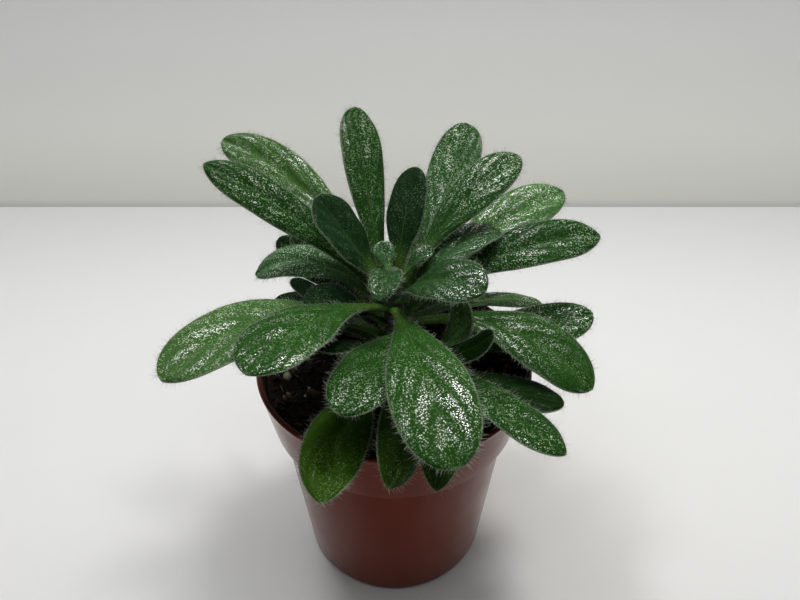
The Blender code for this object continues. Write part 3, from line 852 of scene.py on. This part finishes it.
def turned(name, profile, sides, material):
    """A solid of revolution from a closed run that starts and ends on the axis, in mm."""
    rings = [(r, z) for r, z in profile if r > 0]
    angle = 2 * math.pi * np.arange(sides) / sides
    grid = np.array([[(r * math.cos(a), r * math.sin(a), z) for a in angle] for r, z in rings])
    verts = np.vstack([grid.reshape(-1, 3), [(0, 0, profile[0][1]), (0, 0, profile[-1][1])]])
    i, k = np.meshgrid(np.arange(len(rings) - 1), np.arange(sides), indexing="ij")
    m = (k + 1) % sides
    quads = np.stack([i * sides + k, i * sides + m, (i + 1) * sides + m, (i + 1) * sides + k], -1)
    obj = set_mesh(name, verts * MM, quads.reshape(-1, 4), [material])
    bm = bmesh.new()
    bm.from_mesh(obj.data)
    bm.verts.ensure_lookup_table()
    last = (len(rings) - 1) * sides
    low, high = bm.verts[len(verts) - 2], bm.verts[len(verts) - 1]
    for k in range(sides):
        m = (k + 1) % sides
        bm.faces.new((low, bm.verts[m], bm.verts[k])).smooth = True
        bm.faces.new((high, bm.verts[last + k], bm.verts[last + m])).smooth = True
    bmesh.ops.recalc_face_normals(bm, faces=bm.faces)
    bm.to_mesh(obj.data)
    bm.free()
    return obj


def make_pot():
    """The moulded pot: rounded foot and lip, softened step under the band, drain holes."""
    foot, lip, soft, step = FOOT_ROUNDING, LIP_ROUNDING, STEP_ROUNDING, RIM_FOOT_HEIGHT
    outside = [(r, 0.0) for r in (0.0, 10.0, DRAIN_RING_RADIUS, 25.0)]
    outside += arc(body_radius(foot) - foot, foot, foot, -90, 0, 7)
    outside += [(body_radius(z), z) for z in (4, 10, 18, 26, 34, 42, 48, 51, step - soft)]
    outside += [(body_radius(step) + 0.15, step - 0.12), (body_radius(step) + soft, step)]
    outside += arc(RIM_FOOT_RADIUS - soft, step + soft, soft, -90, 0, 4)
    outside += [(rim_radius(z), z) for z in (53.4, 56, 60, 64, 66.5, 67.6)]
    outside += [(rim_radius(67.9) + LIP_BEAD, 67.9)]
    outside += arc(RIM_RADIUS - lip, POT_HEIGHT - lip, lip, 10, 180, 9)
    inside = [(rim_radius(z) - WALL, z) for z in (66.5, 64, 60, 56)]
    inside += [(RIM_FOOT_RADIUS - WALL, step + WALL), (RIM_FOOT_RADIUS - WALL - 0.5, step + 0.8)]
    inside += [(body_radius(z) - WALL, z) for z in (step, 50, 30, 10)]
    inside += [(r, FLOOR) for r in (body_radius(FLOOR) - WALL, DRAIN_RING_RADIUS, 8.0, 0.0)]
    pot = turned("pot_moulding", outside + inside, POT_SIDES, pot_plastic())
    cut_drain_holes(pot)
    add_mould_nub(pot)
    declare(pot, "pot_plastic", "pot")


def cut_drain_holes(pot):
    cutters = []
    for i in range(DRAIN_HOLES):
        angle = 2 * math.pi * (i + 0.5) / DRAIN_HOLES
        bm = bmesh.new()
        bmesh.ops.create_cone(bm, cap_ends=True, segments=DRAIN_SIDES,
                              depth=DRAIN_CUTTER_LENGTH * MM,
                              radius1=DRAIN_HOLE_RADIUS * MM, radius2=DRAIN_HOLE_RADIUS * MM)
        spot = (DRAIN_RING_RADIUS * MM * math.cos(angle),
                DRAIN_RING_RADIUS * MM * math.sin(angle), FLOOR * MM / 2)
        bmesh.ops.translate(bm, verts=bm.verts, vec=spot)
        mesh = bpy.data.meshes.new("drain")
        bm.to_mesh(mesh)
        bm.free()
        cutter = bpy.data.objects.new("drain", mesh)
        bpy.context.scene.collection.objects.link(cutter)
        cutters.append(cutter)
        cut = pot.modifiers.new("drain", "BOOLEAN")
        cut.operation = "DIFFERENCE"
        cut.solver = "EXACT"
        cut.object = cutter
    apply_modifiers(pot)
    for cutter in cutters:
        bpy.data.objects.remove(cutter, do_unlink=True)


def apply_modifiers(obj):
    depsgraph = bpy.context.evaluated_depsgraph_get()
    mesh = bpy.data.meshes.new_from_object(obj.evaluated_get(depsgraph))
    obj.modifiers.clear()
    obj.data = mesh


def add_mould_nub(pot):
    """The small gate mark under the band, pulled out of the band's foot at the front."""
    for vert in pot.data.vertices:
        x, y, z = vert.co
        if y < 0 and abs(z - NUB_HEIGHT * MM) < NUB_REACH * MM:
            pull = math.exp(-((x - NUB_X * MM) / (NUB_REACH * MM)) ** 2)
            vert.co.z -= NUB_DEPTH * MM * pull


# The soil
def soil_height(u, v):
    """Lumpy ground in mm: the solid's broad shape with finer lumps and grit on it."""
    broad = 0.5 * np.sin(0.13 * u + 0.8) * np.cos(0.11 * v - 0.3)
    crumbs = 0.35 * np.sin(0.47 * u + 1.7 * np.sin(0.31 * v))
    fine = 0.25 * np.sin(0.83 * v + 1.3 * np.cos(0.71 * u + 0.4))
    lumps = 0.30 * np.sin(1.9 * u + 2.0 * np.sin(1.3 * v))
    lumps = lumps * np.sin(2.3 * v + 1.1 * np.cos(1.7 * u))
    grit = 0.16 * np.sin(5.1 * u + 3 * np.sin(2.9 * v)) * np.cos(4.7 * v + 2 * np.sin(3.7 * u))
    return SOIL_TOP + SOIL_LUMP * (broad + crumbs + fine) + lumps + grit


def make_soil():
    """The soil that fills the pot, with a plain hole for the stem."""
    inner = radius_at(STEM_PROFILE, SOIL_TOP) + 2 * GAP
    edge = rim_radius(SOIL_TOP) - WALL - GAP
    profile = [(0.0, FLOOR + GAP), (body_radius(FLOOR) - WALL - GAP, FLOOR + GAP)]
    profile += [(body_radius(z) - WALL - GAP, z) for z in (30.0, 52.6)]
    profile += [(RIM_FOOT_RADIUS - WALL - GAP, RIM_FOOT_HEIGHT + WALL + 0.4)]
    profile += [(rim_radius(60) - WALL - GAP, 60.0), (edge, SOIL_TOP - 1.2)]
    first = len(profile)
    for k in range(1, SOIL_RINGS + 1):
        profile.append((edge + (inner - edge) * k / SOIL_RINGS, SOIL_TOP))
    last = len(profile)
    profile += [(inner, STEM_HOLE_FLOOR), (0.0, STEM_HOLE_FLOOR)]
    mat = soil_material("potting_soil", rgb(0.0018, 0.0012, 0.001), rgb(0.010, 0.006, 0.0045))
    soil = turned("soil_body", profile, SOIL_SIDES, mat)
    co = np.empty(len(soil.data.vertices) * 3, np.float32)
    soil.data.vertices.foreach_get("co", co)
    co = co.reshape(-1, 3)
    top = slice((first - 1) * SOIL_SIDES, (last - 1) * SOIL_SIDES)
    co[top, 2] = soil_height(co[top, 0] / MM, co[top, 1] / MM) * MM
    soil.data.vertices.foreach_set("co", co.ravel())
    soil.data.update()
    declare(soil, "potting_soil", "soil")


def grain_shape(subdivisions):
    """The points and triangles of a ball of radius 1."""
    bm = bmesh.new()
    bmesh.ops.create_icosphere(bm, subdivisions=subdivisions, radius=1.0)
    verts = np.array([v.co[:] for v in bm.verts])
    faces = np.array([[v.index for v in f.verts] for f in bm.faces])
    bm.free()
    return verts, faces


def spin(turn, tilt):
    """A tilt about the first axis, then a turn about the upright one."""
    c, s = math.cos(turn), math.sin(turn)
    ct, st = math.cos(tilt), math.sin(tilt)
    upright = np.array([[c, -s, 0], [s, c, 0], [0, 0, 1]])
    return upright @ np.array([[1, 0, 0], [0, ct, -st], [0, st, ct]])


def scatter(name, rng, mat, count, sizes, stretch, rough, subdivisions=1, sink=0.35, spots=()):
    """Irregular grains on the soil, joined in one piece, the first ones at the given spots."""
    base, faces = grain_shape(subdivisions)
    edge = rim_radius(SOIL_TOP) - WALL - LITTER_MARGIN
    verts = []
    for n in range(count):
        size = rng.uniform(*sizes)
        if n < len(spots):
            u, v, size = spots[n]
        else:
            radius = math.sqrt(rng.uniform(0.03, 1.0)) * edge
            angle = rng.uniform(0, 2 * math.pi)
            u, v = radius * math.cos(angle), radius * math.sin(angle)
        shape = base * (1 + rough * rng.normal(0, 1, (len(base), 1)))
        scale = np.array([1.0, rng.uniform(*stretch), rng.uniform(0.55, 0.9)])
        shape = shape * scale * size / 2
        shape = shape @ spin(rng.uniform(0, 2 * math.pi), rng.normal(0, 0.35)).T
        verts.append(shape + [u, v, soil_height(u, v) + size * (0.5 - sink)])
    starts = np.arange(count)[:, None, None] * len(base)
    obj = set_mesh(name, np.concatenate(verts) * MM, (faces + starts).reshape(-1, 3), [mat],
                   smooth=False)
    declare(obj, "potting_soil")


def make_litter():
    """Peat crumbs, perlite, bark and fibres; spots are x, y and size in mm."""
    rng = np.random.default_rng(11)
    peat = soil_material("peat_crumb", rgb(0.0012, 0.0008, 0.0007), rgb(0.022, 0.011, 0.007))
    scatter("peat_crumbs", rng, peat, 7000, sizes=(0.35, 1.2), stretch=(0.35, 1.0), rough=0.38)
    pale = soil_material("perlite", rgb(0.16, 0.15, 0.11), rgb(0.42, 0.41, 0.34), 0.85)
    spots = [(-29.5, -5.0, 2.9), (-30.5, 2.5, 1.5), (-23.0, -9.0, 1.0), (24.0, -20.0, 1.4)]
    scatter("perlite_grains", rng, pale, 46, sizes=(0.3, 1.0), stretch=(0.6, 1.0), rough=0.10,
            subdivisions=2, spots=spots)
    tan = soil_material("bark_bits", rgb(0.010, 0.005, 0.003), rgb(0.10, 0.055, 0.028), 0.85)
    scatter("bark_chips", rng, tan, 620, sizes=(0.25, 0.7), stretch=(0.3, 0.8), rough=0.40,
            sink=0.25)
    fibre = soil_material("fibre", rgb(0.05, 0.028, 0.018), rgb(0.20, 0.13, 0.075), 0.8)
    scatter("root_fibres", rng, fibre, 220, sizes=(1.5, 5.0), stretch=(0.03, 0.07), rough=0.03,
            sink=0.1)


def make_stem():
    """The short stem with leaf scars, a little slimmer than its solid."""
    foot, top = STEM_SKIN[0][0], STEM_SKIN[-1][0]
    profile = [(0.0, foot)]
    for z in np.linspace(foot, top, STEM_RINGS):
        scar = STEM_SCAR * math.sin(2.6 * z) if 66 < z < 96 else 0.0
        profile.append((radius_at(STEM_SKIN, z) + scar, float(z)))
    profile.append((0.0, top + 0.6))
    declare(turned("stem_skin_fine", profile, STEM_SIDES, stem_material()), "stem_skin", "stem")


# The stage, the light and the camera
def make_stage():
    """A pale floor that turns up behind into a slightly greyer wall. The floor is painted lighter
    towards the back and the wall lighter at its foot: painted light.
    """
    width, front, foot, back, top = 1.6, -1.4, 0.240, 0.285, 0.9
    line = [(front, 0.0), (-0.3, 0.0), (0.0, 0.0), (foot, 0.0), (foot, 0.0004)]
    line += [(foot + 0.012, 0.05), (foot + 0.030, 0.10), (back, 0.16), (back, top)]
    verts = np.array([(x, y, z) for y, z in line for x in (-width, width)])
    faces = np.array([(2 * k, 2 * k + 1, 2 * k + 3, 2 * k + 2) for k in range(len(line) - 1)])
    s = Shade("pale_floor")
    place = s.split(s.where)
    tone = s.mix(s.noise(s.where, 9.0, 3.0), rgb(0.58, 0.575, 0.565), rgb(0.61, 0.607, 0.60))
    # Painted light: the floor lighter towards the back
    tone = s.mix(s.span(place["Y"], -0.12, 0.16), tone, rgb(0.74, 0.74, 0.73))
    # Painted light: the wall lighter at its foot, greyer higher up
    wall = s.mix(s.span(place["Z"], 0.0, 0.11), rgb(0.92, 0.92, 0.86), rgb(0.76, 0.765, 0.745))
    tone = s.mix(s.span(place["Z"], 0.0, 0.006), tone, wall)
    mat = s.set(Base_Color=tone, Roughness=0.6, Specular_IOR_Level=0.3)
    set_mesh("studio_floor", verts, faces, [mat])


def area_light(name, place, aim, size, radiance, colour):
    """A soft rectangle of light; its power follows from its size and brightness."""
    light = bpy.data.lights.new(name, "AREA")
    light.shape = "RECTANGLE"
    light.size, light.size_y = size
    light.energy = math.pi * size[0] * size[1] * radiance
    light.color = colour
    obj = bpy.data.objects.new(name, light)
    obj.location = place
    obj.rotation_euler = (Vector(aim) - Vector(place)).to_track_quat("-Z", "Y").to_euler()
    bpy.context.scene.collection.objects.link(obj)


def make_light():
    """Two soft lights overhead, a little behind, and a faint one for the wall."""
    area_light("key_right", place=(0.26, 0.24, 0.95), aim=(0, 0, 0.05), size=(0.17, 0.17),
               radiance=57.0, colour=(1.0, 0.985, 0.96))
    area_light("key_left", place=(-0.26, 0.24, 0.95), aim=(0, 0, 0.05), size=(0.17, 0.17),
               radiance=34.0, colour=(0.98, 0.99, 1.0))
    area_light("wall_light", place=(0, -0.12, 0.9), aim=(0, 0.285, 0.25), size=(1.0, 0.3),
               radiance=2.6, colour=(1, 1, 1))
    bpy.context.scene.view_settings.view_transform = "Standard"


def make_world():
    """The room's own light: dim from the front and below, brighter from behind and above."""
    world = bpy.data.worlds.new("studio")
    bpy.context.scene.world = world
    world.use_nodes = True
    g = Graph(world.node_tree)
    way = g.split(g.node("ShaderNodeTexCoord", {}).outputs["Generated"])
    glow = g.node("ShaderNodeMapRange", {"Value": g.math("ADD", way["Y"], way["Z"]),
                  "From Min": -0.7, "From Max": 1.2, "To Min": 0.06, "To Max": 0.25})
    back = g.tree.nodes["Background"]
    g.put(back.inputs["Strength"], glow.outputs["Result"])
    g.put(back.inputs["Color"], rgb(0.95, 0.98, 1.0))


def make_camera():
    """The photo's view: 27 mm lens, close above the front of the plant, 34 degrees down."""
    data = bpy.data.cameras.new("camera")
    data.lens = 27.1
    data.sensor_width = 36.0
    data.clip_start = 0.01
    camera = bpy.data.objects.new("camera", data)
    camera.location = (0.0016, -0.1307, 0.1764)
    camera.rotation_euler = (math.radians(90 - 34.2), 0, 0)
    bpy.context.scene.collection.objects.link(camera)
    bpy.context.scene.camera = camera


make_camera()
make_light()
make_world()
make_stage()
make_pot()
make_soil()
make_litter()
make_stem()
make_leaves()
